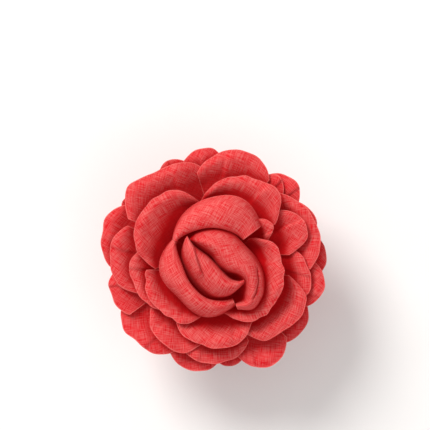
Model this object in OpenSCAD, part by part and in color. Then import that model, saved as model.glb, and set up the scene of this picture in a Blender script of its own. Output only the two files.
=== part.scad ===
// Fabric rose hair clip: a rose of separate cloth petals glued to the front jaw of a spring claw clip.
// Millimetres. +Z is the way the flower faces. The origin lies on the rear jaw's flat outer face,
// under the middle of the flower. The hinge pin runs along Y, on the +X side.

/* [Clip] */
// Length of both jaws, along the hinge pin
clip_l = 56; // [44:1:80]
// Width from the outside of the teeth to the hinge pin's axis
clip_w = 28; // [25:0.5:40]
// Depth of the closed clip, over both flat outer faces
clip_h = 24; // [20:0.5:34]
// Thickness of the moulded jaws
wall_t = 2; // [1.6:0.1:2.6]
// Distance from the flower's middle to the hinge pin's axis
hinge_x = 16; // [12:0.5:22]
// Number of teeth on the rear jaw; the front jaw has one fewer, in the gaps
rear_teeth = 7; // [5:1:9]
// Width of a tooth at its root
tooth_root = 3.6; // [2:0.1:3.8]
// Width of a tooth at its tip
tooth_tip = 1.6; // [1:0.1:2]
// How far each tooth reaches past the middle plane
tooth_over = 4; // [2:0.5:5]
// Height above the middle plane where the teeth start
tooth_root_z = 5; // [3:0.5:7]

/* [Hinge] */
// Diameter of the steel hinge pin
pin_d = 2; // [1.6:0.1:2.4]
// Radial clearance between the pin and its bores
pin_clearance = 0.05; // [0.02:0.01:0.08]
// Outer radius of the hinge lugs
lug_r = 3; // [2.6:0.1:3.4]
// Thickness of each hinge lug
lug_t = 3; // [2:0.5:4]
// Clearance beside and around each lug
lug_gap = 0.4; // [0.3:0.1:0.8]
// Length of the finger tabs
tab_l = 10; // [8:0.5:14]
// Width of the finger tabs
tab_w = 24; // [23:1:40]
// Angle of each finger tab from the middle plane
tab_angle = 20; // [16:1:26]
// Diameter of the spring wire
wire_d = 0.8; // [0.6:0.1:1]
// Mean radius of the spring's coil
coil_r = 2.1; // [1.9:0.1:2.2]
// Number of whole turns in the spring
coil_turns = 5; // [3:1:6]
// Length of the spring's straight legs
leg_l = 7; // [5:0.5:8]

/* [Backing] */
// Thickness of the glue between the front jaw and the felt
glue_t = 0.6; // [0.3:0.1:1.5]
// Length of the glue pad along the clip
glue_l = 30; // [20:1:40]
// Width of the glue pad across the clip
glue_w = 17; // [10:0.5:18]
// Diameter of the felt disc
felt_d = 35; // [34:0.5:44]
// Thickness of the felt disc
felt_t = 1.4; // [1:0.1:3]

/* [Flower] */
// Diameter that the petals are laid out for
flower_d = 76; // [64:1:92]
// Height of the bud above the felt
flower_h = 28; // [23:0.5:34]
// Thickness of one petal's cloth
petal_t = 0.45; // [0.3:0.05:0.55]

/* [Hidden] */
$fn = 48;

// Petals that lie on nested bowls, from the inside out. Each row holds the name, the start and end
// angle seen from the front, the bowl that the petal lies on (a larger number is further out), how
// much the bowl number rises across the petal, how much it rises at both side edges, how far the rim
// rolls down, and the rim's distance from the axis at even steps across the petal.
LEAVES = [
  ["inner_petal_3", 278, 395, 2.15, -0.35, 0.1, 1.1, [18, 24, 25.6, 25.2, 23.4, 21.8, 14]],
  ["inner_petal_4", 20, 45, 2.75, 0, 0.1, 0.6, [18.5, 22.6, 22.4, 20.5]],
  ["middle_petal_1", 30, 106, 3.5, 0, 0.2, 1, [24, 31.3, 31.2, 29.5, 25.5, 20.5]],
  ["middle_petal_2", 102, 189, 3.05, 0, 0.2, 1, [21, 27.8, 30.4, 29.6, 28.6, 21]],
  ["middle_petal_3", 186, 264, 2.9, 0, 0.1, 0.9, [23.5, 25.2, 24, 24, 20]],
  ["middle_petal_4", 234, 306, 3.4, 0, 0.15, 1, [23.5, 27.2, 28.8, 28.9, 28, 23.5]],
  ["middle_petal_5", 291, 350, 3.95, 0, 0.2, 1.2, [26.5, 31.5, 33, 34.6, 33, 26]],
  ["middle_petal_6", 330, 371, 4.6, 0, 0.05, 0.8, [31, 33.6, 31.6, 26.5]],
  ["middle_petal_7", 170, 224, 3.85, 0, 0.2, 0.8, [26, 29, 28, 27, 25.5]],
  ["middle_petal_8", 4, 38, 4.15, 0, 0.05, 0.8, [26, 32.3, 32.6, 29.5]],
  ["large_petal_1", -6, 49, 5.1, 0, 0.2, 1, [33.2, 36.2, 37, 35.8, 31]],
  ["large_petal_2", 54, 102, 5.1, 0, 0.2, 1.2, [34.5, 37.8, 38.2, 36, 31]],
  ["large_petal_3", 96, 148, 4.6, 0, 0.2, 1.2, [31.5, 35.4, 35.8, 38.7, 34]],
  ["large_petal_4", 157, 204, 4.9, 0, 0.2, 1, [32.5, 35.6, 34.8, 34, 29]],
  ["large_petal_5", 216, 265, 4.5, 0, 0.2, 0.8, [27.5, 31.8, 32.9, 32.2, 27.5]],
  ["large_petal_6", 247, 294, 5.15, 0, 0.2, 1, [31.5, 34.2, 34.9, 33.4, 30.5]],
  ["large_petal_7", 332, 362, 5.65, 0, 0.15, 0.9, [35, 38, 37.6, 33.8]],
  ["outer_petal_1", 349, 376, 6.9, 0, 0.2, 0.7, [36, 38.2, 37.8, 35.5]],
  ["outer_petal_2", 14, 38, 6.45, 0, 0.1, 0.7, [35.8, 37.3, 36.6, 34.5]],
  ["outer_petal_3", 33, 61, 6, 0, 0.1, 0.8, [34.5, 38.6, 37.6, 34]],
  ["outer_petal_4", 43, 60, 5.6, 0, 0.1, 0.4, [33, 35.6, 33.8]],
  ["outer_petal_5", 85, 111, 6.2, 0, 0.2, 0.7, [36, 38.3, 37.6, 34.5]],
  ["outer_petal_6", 105, 125, 6.8, 0, 0.2, 0.6, [35.5, 37.2, 35.2]],
  ["outer_petal_7", 140, 152, 6.8, 0, 0.2, 0.5, [35.8, 37.6, 36]],
  ["outer_petal_8", 146, 184, 6.1, 0, 0.2, 0.9, [35.5, 39.8, 39, 36.5]],
  ["outer_petal_9", 183, 213, 5.6, 0, 0.2, 0.8, [33.5, 36.8, 36.6, 35]],
  ["outer_petal_10", 205, 247, 6.2, 0, 0.2, 0.9, [35, 38.8, 38.3, 37.6, 34.5]],
  ["outer_petal_11", 241, 276, 6.75, 0, 0.2, 0.7, [34.5, 37.4, 37.9, 34]],
  ["outer_petal_12", 270, 289, 7.3, 0, 0.1, 0.4, [34.5, 36.1, 34.5]],
  ["outer_petal_13", 283, 314, 5.9, 0, 0.2, 1, [34.5, 39.9, 40.2, 36.5]],
  ["outer_petal_14", 308, 338, 6.45, 0, 0.2, 0.8, [37, 38.7, 37.4, 34]],
];

// Petals that wrap the bud: the cloth rises, folds over a lip and rolls outwards. Each row holds the
// name, the middle of its spiral, the start and end angle, the radius of its foot, how far its belly
// stands outside the lip, the heights of lip, crown, shoulder and rim, the distances of the lip and
// of the rim at even steps across the petal, and the share of its height that it loses at each end.
WRAPS = [
  ["bud_petal_1", [2, -2], 140, 327, 1.2, 0, [24.5, 27.6, 24.6, 18],
    [12.5, 1.9, 1, 0.8, 1, 1.7, 7.5], [14.8, 12.2, 10.7, 10.4, 9.8, 9.2], [0.04, 0.12]],
  ["bud_petal_2", [2, -2], -63, 136, 2.4, 0, [25, 28, 25, 19.5],
    [11, 11.3, 4.5, 0.9, 0.55, 0.5, 0.55, 1.1, 12], [13.5, 17.4, 14, 11, 11.3, 13.4, 13.8],
    [0.12, 0.05]],
  ["inner_petal_1", [0, 0], 37, 152, 4.2, 1, [24.5, 26.3, 24.6, 19.5],
    [11.8, 11.1, 11.2, 12.2, 14.8], [20.6, 22.9, 22.4, 20, 15.8], [0.08, 0.1]],
  ["inner_petal_2", [0, 0], 153, 296, 4.2, 1, [23.5, 25.3, 23.6, 19],
    [14.8, 10.6, 10.8, 12.6, 14], [15.8, 18.6, 17, 19.2, 15.5], [0.1, 0.1]],
];

// The tables above are laid out for a flower of this size, and are scaled to flower_d and flower_h.
table_d = 76;
table_h = 28;
plan_k = flower_d / table_d;
height_k = flower_h / table_h;
petal_z = clip_h + glue_t + felt_t;

// The nested bowls: foot radius, height and reach of bowl number 3, and their steps from bowl to bowl.
bowl_first = 3;
bowl_foot = 7.2;
bowl_foot_step = 1.8;
bowl_height = 18.5;
bowl_height_step = -2.7;
bowl_reach = 8.5;
bowl_reach_step = 1.4;

// How much narrower a petal is at its foot, where its rim starts to roll, how sharply it rolls, and
// how much less it rolls at its side edges.
foot_narrowing = 0.45;
roll_start = 0.78;
roll_power = 1.5;
roll_fade = 0.6;

// A wrapped petal's lower wall, by its height and its share of the way from foot to lip, its belly's
// height, the places of its crest, crown and shoulder on the way from lip to rim, and the share of
// its width that drops at an end.
wrap_low = 9;
wrap_low_share = 0.42;
wrap_belly = 17;
crest_share = 0.05;
crown_share = 0.36;
shoulder_share = 0.75;
end_share = 0.4;

// A lip stays within this share of its rim's distance from the axis.
lip_share = 0.9;

// Points of the petal grids, across and from foot to rim, and the least height of a petal's upper
// side over the felt, as a share of its thickness.
leaf_grid = [8, 9];
wrap_grid = [15, 15];
least_lift = 1 / 3;

// Clip values that follow from the driving sizes.
mid_z = clip_h / 2;
tooth_x = hinge_x - clip_w;
corner = 3;
corner_cut = corner * 0.3;
plan_corner = 2.5;
tab_corner = 4;
tooth_pitch = clip_l / rear_teeth;
tab_off = lug_r + lug_gap;
slope_run = 6;
slope_inset = wall_t * 0.4;
inner_fillet = wall_t * 0.2;
tip_outer = wall_t * 0.7;
tip_inner = wall_t * 1.2;
tab_dir = [cos(tab_angle), sin(tab_angle)];
tab_up = [-sin(tab_angle), cos(tab_angle)];
hinge = [hinge_x, 0];
wire_r = wire_d / 2;
wire_gap = 0.15;
wire_pitch = wire_d + wire_gap;
wire_sides = 8;
wire_ring_angle = 30;
coil_angle = 360 * coil_turns + 180 - 2 * tab_angle;
coil_half = wire_pitch * coil_angle / 720;
coil_end_gap = 0.6;
front_lug_y = coil_half + wire_r + coil_end_gap;
rear_lug_y = front_lug_y + lug_t + lug_gap;
pin_half = rear_lug_y + lug_t + lug_gap / 2;
pin_head_t = 0.6;
pin_head_rim = 0.4;
pin_head_r = pin_d / 2 + pin_head_rim;
leg_clearance = 0.05;
overlap = 0.01;
over_reach = 1;

function clamp(x, low, high) = min(max(x, low), high);
function mix(a, b, k) = a + (b - a) * k;
function smooth(x) = let (t = clamp(x, 0, 1)) t * t * (3 - 2 * t);
function unit(v) = v / max(norm(v), 1e-9);

// A smooth curve through evenly spaced values, at u from 0 to 1.
function along(values, u) =
  let (
    n = len(values) - 1,
    x = clamp(u, 0, 1) * n,
    i = min(floor(x), n - 1),
    f = x - i,
    b = values[i],
    c = values[i + 1],
    a = i == 0 ? 2 * b - c : values[i - 1],
    d = i == n - 1 ? 2 * c - b : values[i + 2]
  )
  (2 * b + (c - a) * f + (2 * a - 5 * b + 4 * c - d) * f * f + (3 * b - a - 3 * c + d) * f * f * f) / 2;

function bowl_r(bowl) = bowl_foot + bowl_foot_step * (bowl - bowl_first);

function bowl_z(bowl, r) =
  let (
    steps = bowl - bowl_first,
    height = bowl_height + bowl_height_step * steps,
    reach = bowl_reach + bowl_reach_step * steps
  )
  height * (1 - exp(-(r - bowl_r(bowl)) / reach));

// A point on a petal in the table's own size, at u across and v from foot to rim.
function leaf_point(p, u, v) =
  let (
    side = (2 * u - 1) * (1 - foot_narrowing * pow(1 - v, 2)),
    angle = mix(p[1], p[2], (1 + side) / 2),
    bowl = p[3] + p[4] * side + p[5] * side * side,
    r = mix(bowl_r(bowl), along(p[7], u), v),
    roll_v = smooth((v - roll_start) / (1 - roll_start)),
    roll = p[6] * (1 - roll_fade * side * side) * pow(roll_v, roll_power)
  )
  [r * cos(angle), r * sin(angle), max(bowl_z(bowl, r) - roll, 0)];

// A point on a wrapped petal in the table's own size, at u round it and v from foot to rim.
function wrap_point(p, u, v) =
  let (
    angle = mix(p[2], p[3], u),
    rim = along(p[8], u),
    lip = min(1 / along([for (r = p[7]) 1 / r], u), rim * lip_share),
    start_drop = p[9][0] * (1 - smooth(u / end_share)),
    end_drop = p[9][1] * (1 - smooth((1 - u) / end_share)),
    z = p[6] * (1 - start_drop - end_drop),
    profile = [
      [p[4], 0],
      [mix(p[4], lip, wrap_low_share), wrap_low],
      [lip + p[5], wrap_belly],
      [mix(lip, rim, crest_share), z[0]],
      [mix(lip, rim, crown_share), z[1]],
      [mix(lip, rim, shoulder_share), z[2]],
      [rim, z[3]]
    ],
    at = along(profile, v)
  )
  [p[1][0] + at[0] * cos(angle), p[1][1] + at[0] * sin(angle), at[1]];

// A closed sheet of thickness t over a grid of points. Its underside never goes below z = 0.
module sheet(grid, t) {
  nu = len(grid);
  nv = len(grid[0]);
  normals = [for (i = [0:nu - 1]) [for (j = [0:nv - 1])
    unit(cross(
      grid[i][min(j + 1, nv - 1)] - grid[i][max(j - 1, 0)],
      grid[min(i + 1, nu - 1)][j] - grid[max(i - 1, 0)][j]
    ))]];
  points = [for (side = [1, -1]) for (i = [0:nu - 1]) for (j = [0:nv - 1])
    let (
      q = grid[i][j] + normals[i][j] * side * t / 2,
      floor_z = side > 0 ? t * least_lift : 0
    )
    [q[0], q[1], max(q[2], floor_z)]];
  function top(i, j) = i * nv + j;
  function under(i, j) = nu * nv + i * nv + j;
  quads = concat(
    [for (i = [0:nu - 2]) for (j = [0:nv - 2])
      [top(i, j), top(i + 1, j), top(i + 1, j + 1), top(i, j + 1)]],
    [for (i = [0:nu - 2]) for (j = [0:nv - 2])
      [under(i, j), under(i, j + 1), under(i + 1, j + 1), under(i + 1, j)]],
    [for (i = [0:nu - 2]) [top(i + 1, 0), top(i, 0), under(i, 0), under(i + 1, 0)]],
    [for (i = [0:nu - 2]) [top(i, nv - 1), top(i + 1, nv - 1), under(i + 1, nv - 1), under(i, nv - 1)]],
    [for (j = [0:nv - 2]) [top(0, j), top(0, j + 1), under(0, j + 1), under(0, j)]],
    [for (j = [0:nv - 2]) [top(nu - 1, j + 1), top(nu - 1, j), under(nu - 1, j), under(nu - 1, j + 1)]]
  );
  polyhedron(points, [for (q = quads) for (f = [[q[0], q[1], q[2]], [q[0], q[2], q[3]]]) f]);
}

// A point of a table's size, brought to the driving sizes.
function sized(q) = [q[0] * plan_k, q[1] * plan_k, q[2] * height_k];

module leaf_petal(p) {
  nu = leaf_grid[0] - 1;
  nv = leaf_grid[1] - 1;
  grid = [for (i = [0:nu]) [for (j = [0:nv]) sized(leaf_point(p, i / nu, j / nv))]];
  color("indianred") translate([0, 0, petal_z]) sheet(grid, petal_t);
}

module wrap_petal(p) {
  nu = wrap_grid[0] - 1;
  nv = wrap_grid[1] - 1;
  grid = [for (i = [0:nu]) [for (j = [0:nv]) sized(wrap_point(p, i / nu, j / nv))]];
  color("indianred") translate([0, 0, petal_z]) sheet(grid, petal_t);
}

// Extrudes an outline drawn in X and height above the middle plane, between two places along Y.
module along_y(from, to) {
  translate([0, to, 0])
    rotate([90, 0, 0])
      linear_extrude(to - from) children();
}

module rounded_plate(low, high, r, h) {
  linear_extrude(h) {
    translate([low[0] + r, low[1]]) square([high[0] - low[0] - 2 * r, high[1] - low[1]]);
    translate([low[0], low[1] + r]) square([high[0] - low[0], high[1] - low[1] - 2 * r]);
    for (x = [low[0] + r, high[0] - r], y = [low[1] + r, high[1] - r]) translate([x, y]) circle(r);
  }
}

// The outline of one jaw's panel and of its slope down to the hinge, seen along the pin.
module panel_outline() {
  inner = clip_h / 2 - wall_t;
  polygon([
    [tooth_x + corner, clip_h / 2],
    [hinge_x - slope_run, clip_h / 2],
    hinge + tab_up * (tab_off + wall_t),
    hinge + tab_up * tab_off,
    [hinge_x - slope_run - slope_inset, inner],
    [tooth_x + corner, inner]
  ]);
}

module tooth_outline() {
  top = clip_h / 2;
  polygon([
    [tooth_x + corner + overlap, top],
    [tooth_x + corner_cut, top - corner_cut],
    [tooth_x, top - corner],
    [tooth_x, 0],
    [tooth_x + tip_outer, -tooth_over],
    [tooth_x + tip_inner, -tooth_over],
    [tooth_x + wall_t, 0],
    [tooth_x + wall_t, top - corner - inner_fillet],
    [tooth_x + corner + overlap, top - wall_t]
  ]);
}

module tab_outline() {
  polygon([
    hinge + tab_up * tab_off,
    hinge + tab_up * (tab_off + wall_t),
    hinge + tab_dir * tab_l + tab_up * (tab_off + wall_t),
    hinge + tab_dir * tab_l + tab_up * tab_off
  ]);
}

module lug_outline() {
  translate(hinge) circle(lug_r);
  polygon([
    hinge - tab_dir * lug_r,
    hinge - tab_dir * lug_r + tab_up * (tab_off + wall_t / 2),
    hinge + tab_dir * lug_r + tab_up * (tab_off + wall_t / 2),
    hinge + tab_dir * lug_r
  ]);
}

// One jaw above the middle plane. teeth counts its teeth and lug_y is where its lugs start.
module jaw(teeth, lug_y) {
  half = clip_l / 2;
  tab_reach = (hinge + tab_dir * tab_l - tab_up * tab_off)[0];
  difference() {
    union() {
      intersection() {
        along_y(-half, half) panel_outline();
        rounded_plate([tooth_x, -half], [hinge_x + corner, half], plan_corner, clip_h);
      }
      intersection() {
        along_y(-half, half) tooth_outline();
        union() {
          translate([0, 0, tooth_root_z])
            rounded_plate([tooth_x, -half], [hinge_x + corner, half], plan_corner, clip_h);
          for (k = [0:teeth - 1])
            translate([tooth_x - over_reach, (k - (teeth - 1) / 2) * tooth_pitch, 0])
              rotate([90, 0, 90])
                linear_extrude(over_reach + corner + wall_t)
                  polygon([
                    [-tooth_root / 2, tooth_root_z + overlap],
                    [-tooth_tip / 2, -tooth_over],
                    [tooth_tip / 2, -tooth_over],
                    [tooth_root / 2, tooth_root_z + overlap]
                  ]);
        }
      }
      intersection() {
        along_y(-tab_w / 2, tab_w / 2) tab_outline();
        rounded_plate([tooth_x, -tab_w / 2], [tab_reach, tab_w / 2], tab_corner, clip_h);
      }
      for (y = [lug_y, -lug_y - lug_t]) along_y(y, y + lug_t) lug_outline();
    }
    translate([hinge_x, 0, 0])
      rotate([90, 0, 0])
        cylinder(h = clip_l, r = pin_d / 2 + pin_clearance, center = true);
  }
}

module rear_jaw() {
  color("indianred") translate([0, 0, mid_z]) mirror([0, 0, 1]) jaw(rear_teeth, rear_lug_y);
}

module front_jaw() {
  color("indianred") translate([0, 0, mid_z]) jaw(rear_teeth - 1, front_lug_y);
}

module hinge_pin() {
  color("silver")
    translate([hinge_x, 0, mid_z])
      rotate([90, 0, 0]) {
        cylinder(h = 2 * (pin_half + pin_head_t), r = pin_d / 2, center = true);
        for (s = [-1, 1])
          translate([0, 0, s * (pin_half + pin_head_t / 2)])
            cylinder(h = pin_head_t, r = pin_head_r, center = true);
      }
}

// The spring wire's centre line: a leg on the front tab, the coil round the pin, a leg on the rear tab.
function coil_point(k) =
  let (a = 90 + tab_angle + coil_angle * k)
  [coil_r * cos(a), mix(coil_half, -coil_half, k), coil_r * sin(a)];

function leg_end(s) =
  let (reach = tab_dir * leg_l + tab_up * (tab_off - wire_r - leg_clearance))
  [reach[0], s * coil_half, s * reach[1]];

function spring_path() =
  let (n = ceil(coil_angle / wire_ring_angle))
  concat([leg_end(1)], [for (k = [0:n]) coil_point(k / n)], [leg_end(-1)]);

module wire(path, r) {
  n = len(path);
  m = wire_sides;
  rings = [for (i = [0:n - 1])
    let (
      t = unit(path[min(i + 1, n - 1)] - path[max(i - 1, 0)]),
      side = unit(cross(t, [0, 1, 0])),
      up = cross(side, t)
    )
    [for (k = [0:m - 1]) path[i] + r * (cos(360 * k / m) * side + sin(360 * k / m) * up)]];
  points = [for (ring = rings) for (q = ring) q];
  faces = concat(
    [[for (k = [m - 1:-1:0]) k]],
    [for (i = [0:n - 2]) for (k = [0:m - 1])
      let (a = i * m + k, b = i * m + (k + 1) % m)
      for (f = [[a, b, b + m], [a, b + m, a + m]]) f],
    [[for (k = [0:m - 1]) (n - 1) * m + k]]
  );
  polyhedron(points, faces);
}

module torsion_spring() {
  color("gainsboro") translate([hinge_x, 0, mid_z]) wire(spring_path(), wire_r);
}

module glue_pad() {
  panel_middle = (tooth_x + corner + hinge_x - slope_run) / 2;
  color("ivory")
    translate([panel_middle, 0, clip_h])
      rounded_plate([-glue_w / 2, -glue_l / 2], [glue_w / 2, glue_l / 2], corner, glue_t);
}

module felt_backing() {
  color("firebrick") translate([0, 0, clip_h + glue_t]) cylinder(h = felt_t, d = felt_d);
}

rear_jaw();
front_jaw();
hinge_pin();
torsion_spring();
glue_pad();
felt_backing();
for (p = WRAPS) wrap_petal(p);
for (p = LEAVES) leaf_petal(p);
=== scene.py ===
# %% [markdown]
# # A rose hair clip
# A cloth rose sits on a spring claw clip. The packed CAD model comes first: it is the fixed frame
# that every piece below is placed by. A CAD model could also be reshaped here, but then its joints
# and its looks would drift apart, so it is only loaded, measured and dressed.

# %% Load the packed clip
import math

import bpy
import numpy as np
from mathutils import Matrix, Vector


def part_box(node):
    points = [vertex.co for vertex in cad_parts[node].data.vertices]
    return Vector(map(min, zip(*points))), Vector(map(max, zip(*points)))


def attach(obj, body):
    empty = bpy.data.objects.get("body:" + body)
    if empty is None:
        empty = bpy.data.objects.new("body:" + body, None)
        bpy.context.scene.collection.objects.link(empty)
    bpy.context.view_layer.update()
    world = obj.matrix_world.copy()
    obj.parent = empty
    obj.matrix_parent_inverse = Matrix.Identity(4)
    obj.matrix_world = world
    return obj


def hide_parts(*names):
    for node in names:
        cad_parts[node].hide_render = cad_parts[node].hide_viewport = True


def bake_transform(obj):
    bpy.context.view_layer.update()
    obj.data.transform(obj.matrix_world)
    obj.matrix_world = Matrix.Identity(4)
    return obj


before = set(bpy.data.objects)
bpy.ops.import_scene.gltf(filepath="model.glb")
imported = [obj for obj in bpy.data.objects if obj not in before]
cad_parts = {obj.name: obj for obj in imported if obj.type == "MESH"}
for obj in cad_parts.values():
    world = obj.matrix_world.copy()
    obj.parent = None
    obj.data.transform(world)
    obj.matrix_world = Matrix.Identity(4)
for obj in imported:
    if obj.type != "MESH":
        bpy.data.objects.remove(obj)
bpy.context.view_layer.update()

# %% [markdown]
# ## Sizes
# Lengths are written in millimetres, as the clip's maker would, and MM turns them into Blender's
# metres. What the CAD model already knows, such as where the felt lies, is read from its boxes
# instead of being typed again.

# %% Named sizes
MM = 0.001

hinge_x, hinge_z = 16, 12
felt_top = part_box("felt_backing")[1].z / MM
felt_r = (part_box("felt_backing")[1].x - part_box("felt_backing")[0].x) / 2 / MM
print(f"the petals stand on the felt, {felt_top:.1f} mm up, radius {felt_r:.1f} mm")

# %% [markdown]
# ## Camera
# The clip lies on its rear jaw with the flower facing up, and is seen from straight above. A short
# lens would swell the bud, which stands nearest, so a long lens is used from further away. The view
# is centred a little above the flower, which leaves room over it.

# %% Camera straight above the flower
view_width = 147.5
view_centre = (0.2, 15.6)
view_plane_z = 34
lens = 150

camera_data = bpy.data.cameras.new("camera")
camera_data.lens = lens
camera_data.clip_end = 10
camera = bpy.data.objects.new("camera", camera_data)
bpy.context.scene.collection.objects.link(camera)
distance = view_width * lens / camera_data.sensor_width
camera.location = (view_centre[0] * MM, view_centre[1] * MM, (view_plane_z + distance) * MM)
bpy.context.scene.camera = camera
print(f"camera {distance:.0f} mm above the petals")

# %% [markdown]
# ## Colour and light
# Cloth shows its folds best in broad, soft light with a slight direction. One large lamp from the
# upper left gives the direction, a second one from the lower right fills the deep folds, and a pale
# world keeps the shadows open. A small lamp would draw hard, dark edges between the petals.

# %% Soft studio light
scene = bpy.context.scene
scene.view_settings.view_transform = "Standard"
scene.view_settings.look = "None"


def soft_lamp(name, place, size, watts, colour):
    data = bpy.data.lights.new(name, "AREA")
    data.shape = "DISK"
    data.size = size
    data.energy = watts
    data.color = colour
    lamp = bpy.data.objects.new(name, data)
    lamp.location = place
    aim = Vector((0, 0, felt_top * MM)) - lamp.location
    lamp.rotation_euler = aim.to_track_quat("-Z", "Y").to_euler()
    scene.collection.objects.link(lamp)


soft_lamp("key_lamp", (-0.45, 0.6, 0.75), size=0.5, watts=9.5, colour=(1, 0.99, 0.97))
soft_lamp("fill_lamp", (0.45, -0.5, 0.6), size=0.9, watts=1.5, colour=(0.97, 0.98, 1))

WARM_WHITE = (1, 0.985, 0.975, 1)
WORLD_STRENGTH = 0.6
world = bpy.data.worlds.new("studio")
world.use_nodes = True
background = world.node_tree.nodes["Background"]
background.inputs["Color"].default_value = WARM_WHITE
background.inputs["Strength"].default_value = WORLD_STRENGTH
scene.world = world

# %% [markdown]
# ## A small language for shader maths
# A material's nodes can be placed one by one, but sums and products then take many lines each. Here
# a Wire stands for one output of a node. Adding or multiplying wires adds the Math nodes, so that a
# pattern reads like a formula. Both orders work, so 1 - mask is a wire too.

# %% Wires and recipes
class Wire:
    """One output of a shader node. Arithmetic on wires adds Math nodes."""

    def __init__(self, recipe, socket):
        self.recipe = recipe
        self.socket = socket

    def maths(self, operation, *values):
        inputs = dict(enumerate(values))
        return self.recipe.node("Math", {"operation": operation}, inputs)

    def __add__(self, other):
        return self.maths("ADD", self, other)

    __radd__ = __add__

    def __mul__(self, other):
        return self.maths("MULTIPLY", self, other)

    __rmul__ = __mul__

    def __sub__(self, other):
        return self.maths("SUBTRACT", self, other)

    def __rsub__(self, other):
        return self.maths("SUBTRACT", other, self)


print("wires can be added, subtracted and multiplied")

# %% [markdown]
# ## Recipes
# A Recipe is one material while it is being made. It could be built in the Shader Editor, but a
# recipe in code can be read, repeated and changed. Its short methods are the few patterns that this
# clip needs: noise, stretched noise, a blend of two colours, a soft step and a bump.

# %% Recipes
class Recipe:
    """A material and the nodes that make it."""

    def __init__(self, name):
        self.material = bpy.data.materials.new(name)
        self.material.use_nodes = True
        self.tree = self.material.node_tree
        self.tree.nodes.clear()

    def node(self, kind, settings=None, inputs=None, output=0):
        made = self.tree.nodes.new("ShaderNode" + kind)
        for key, value in (settings or {}).items():
            setattr(made, key, value)
        for key, value in (inputs or {}).items():
            if isinstance(value, Wire):
                self.tree.links.new(value.socket, made.inputs[key])
            else:
                made.inputs[key].default_value = value
        return Wire(self, made.outputs[output])

    def noise(self, vector, scale, detail=2, roughness=0.5):
        inputs = {"Vector": vector, "Scale": scale, "Detail": detail, "Roughness": roughness}
        return self.node("TexNoise", {}, inputs)

    def stretched(self, vector, scale):
        return self.node("Mapping", {}, {"Vector": vector, "Scale": scale})

    def blend(self, share, low, high):
        return self.node("Mix", {"data_type": "RGBA"}, {0: share, 6: low, 7: high}, 2)

    def step(self, value, low, high):
        inputs = {"Value": value, "From Min": low, "From Max": high}
        return self.node("MapRange", {"interpolation_type": "SMOOTHSTEP"}, inputs)

    def bump(self, height, distance, strength):
        inputs = {"Height": height, "Distance": distance, "Strength": strength}
        return self.node("Bump", {}, inputs)

    def finish(self, **inputs):
        named = {key.replace("_", " "): value for key, value in inputs.items()}
        surface = self.node("BsdfPrincipled", {}, named)
        out = self.tree.nodes.new("ShaderNodeOutputMaterial")
        self.tree.links.new(surface.socket, out.inputs["Surface"])
        return self.material


print("recipe steps:", [name for name in vars(Recipe) if not name.startswith("_")])

# %% [markdown]
# ## Small modelling helpers
# Blender's operators act on whatever is selected, and the CAD nodes are selected when they are
# loaded. So a piece is always made the only selected one first. Rounding an edge is the same few
# settings of a Bevel each time, and they are kept in one place.

# %% Select and round
def use_only(piece):
    if bpy.context.object and bpy.context.object.mode != "OBJECT":
        bpy.ops.object.mode_set(mode="OBJECT")
    bpy.ops.object.select_all(action="DESELECT")
    bpy.context.view_layer.objects.active = piece
    piece.select_set(True)


def round_edges(piece, width, segments=3, over_angle=30, clamp=True):
    """Rounds the piece's edges that turn more than over_angle. The width is in millimetres."""
    bevel = piece.modifiers.new("rounding", "BEVEL")
    bevel.width = width * MM
    bevel.segments = segments
    bevel.limit_method = "ANGLE"
    bevel.angle_limit = math.radians(over_angle)
    bevel.use_clamp_overlap = clamp
    bpy.ops.object.modifier_apply(modifier=bevel.name)


def bar_along_y(vertices, radius, length, x, z):
    """A cylinder along Y, with its middle at x and z. The lengths are in millimetres."""
    bpy.ops.object.select_all(action="DESELECT")
    bpy.ops.mesh.primitive_cylinder_add(
        vertices=vertices, radius=radius * MM, depth=length * MM,
        location=(x * MM, 0, z * MM), rotation=(math.radians(90), 0, 0))
    bpy.ops.object.transform_apply(location=True, rotation=True, scale=True)
    return bpy.context.object


def smooth_under(angle):
    bpy.ops.object.shade_smooth_by_angle(angle=math.radians(angle))


print("modelling helpers ready")

# %% [markdown]
# ## The floor
# A plain pale board under the clip. It only catches the soft shadow, so one plane with a faint
# mottling is enough.

# %% Floor
FLOOR_SIZE = 4
floor_recipe = Recipe("pale_floor")
floor_place = floor_recipe.node("TexCoord", output="Object")
floor_tone = floor_recipe.noise(floor_place, 40, 4)
floor_colour = floor_recipe.blend(floor_tone, (0.86, 0.845, 0.835, 1), (0.9, 0.885, 0.875, 1))
floor_recipe.finish(Base_Color=floor_colour, Roughness=0.75)

bpy.ops.object.select_all(action="DESELECT")
bpy.ops.mesh.primitive_plane_add(size=FLOOR_SIZE)
floor = bpy.context.object
floor.name = "floor"
floor.data.materials.append(floor_recipe.material)
print("floor:", floor.dimensions.x, "m across")

# %% [markdown]
# ## Petal cloth
# The petals are a linen-look weave with slubs: threads that swell and thin as they run, some lighter
# and some darker, in both directions. A picture of cloth would be simplest, but it would repeat and
# blur, so the threads are noise that is stretched along each direction of the petal's own map. That
# map is in real lengths, and its directions follow the cut of each petal. The cloth is thin enough
# for light to come through it, and a weak red emission stands for that.

# %% Petal cloth material
UV_PER_MM = 0.01
THREAD_WIDTH, THREAD_RUN = 0.25, 4.5
SLUB_WIDTH, SLUB_RUN = 0.5, 7
PATCH_WIDTH = 9
CUT_EDGE = (0.12, 0.5)
SHADOW_RED = (0.42, 0.001, 0.003, 1)
EDGE_CORAL = (0.93, 0.27, 0.24, 1)


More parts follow.
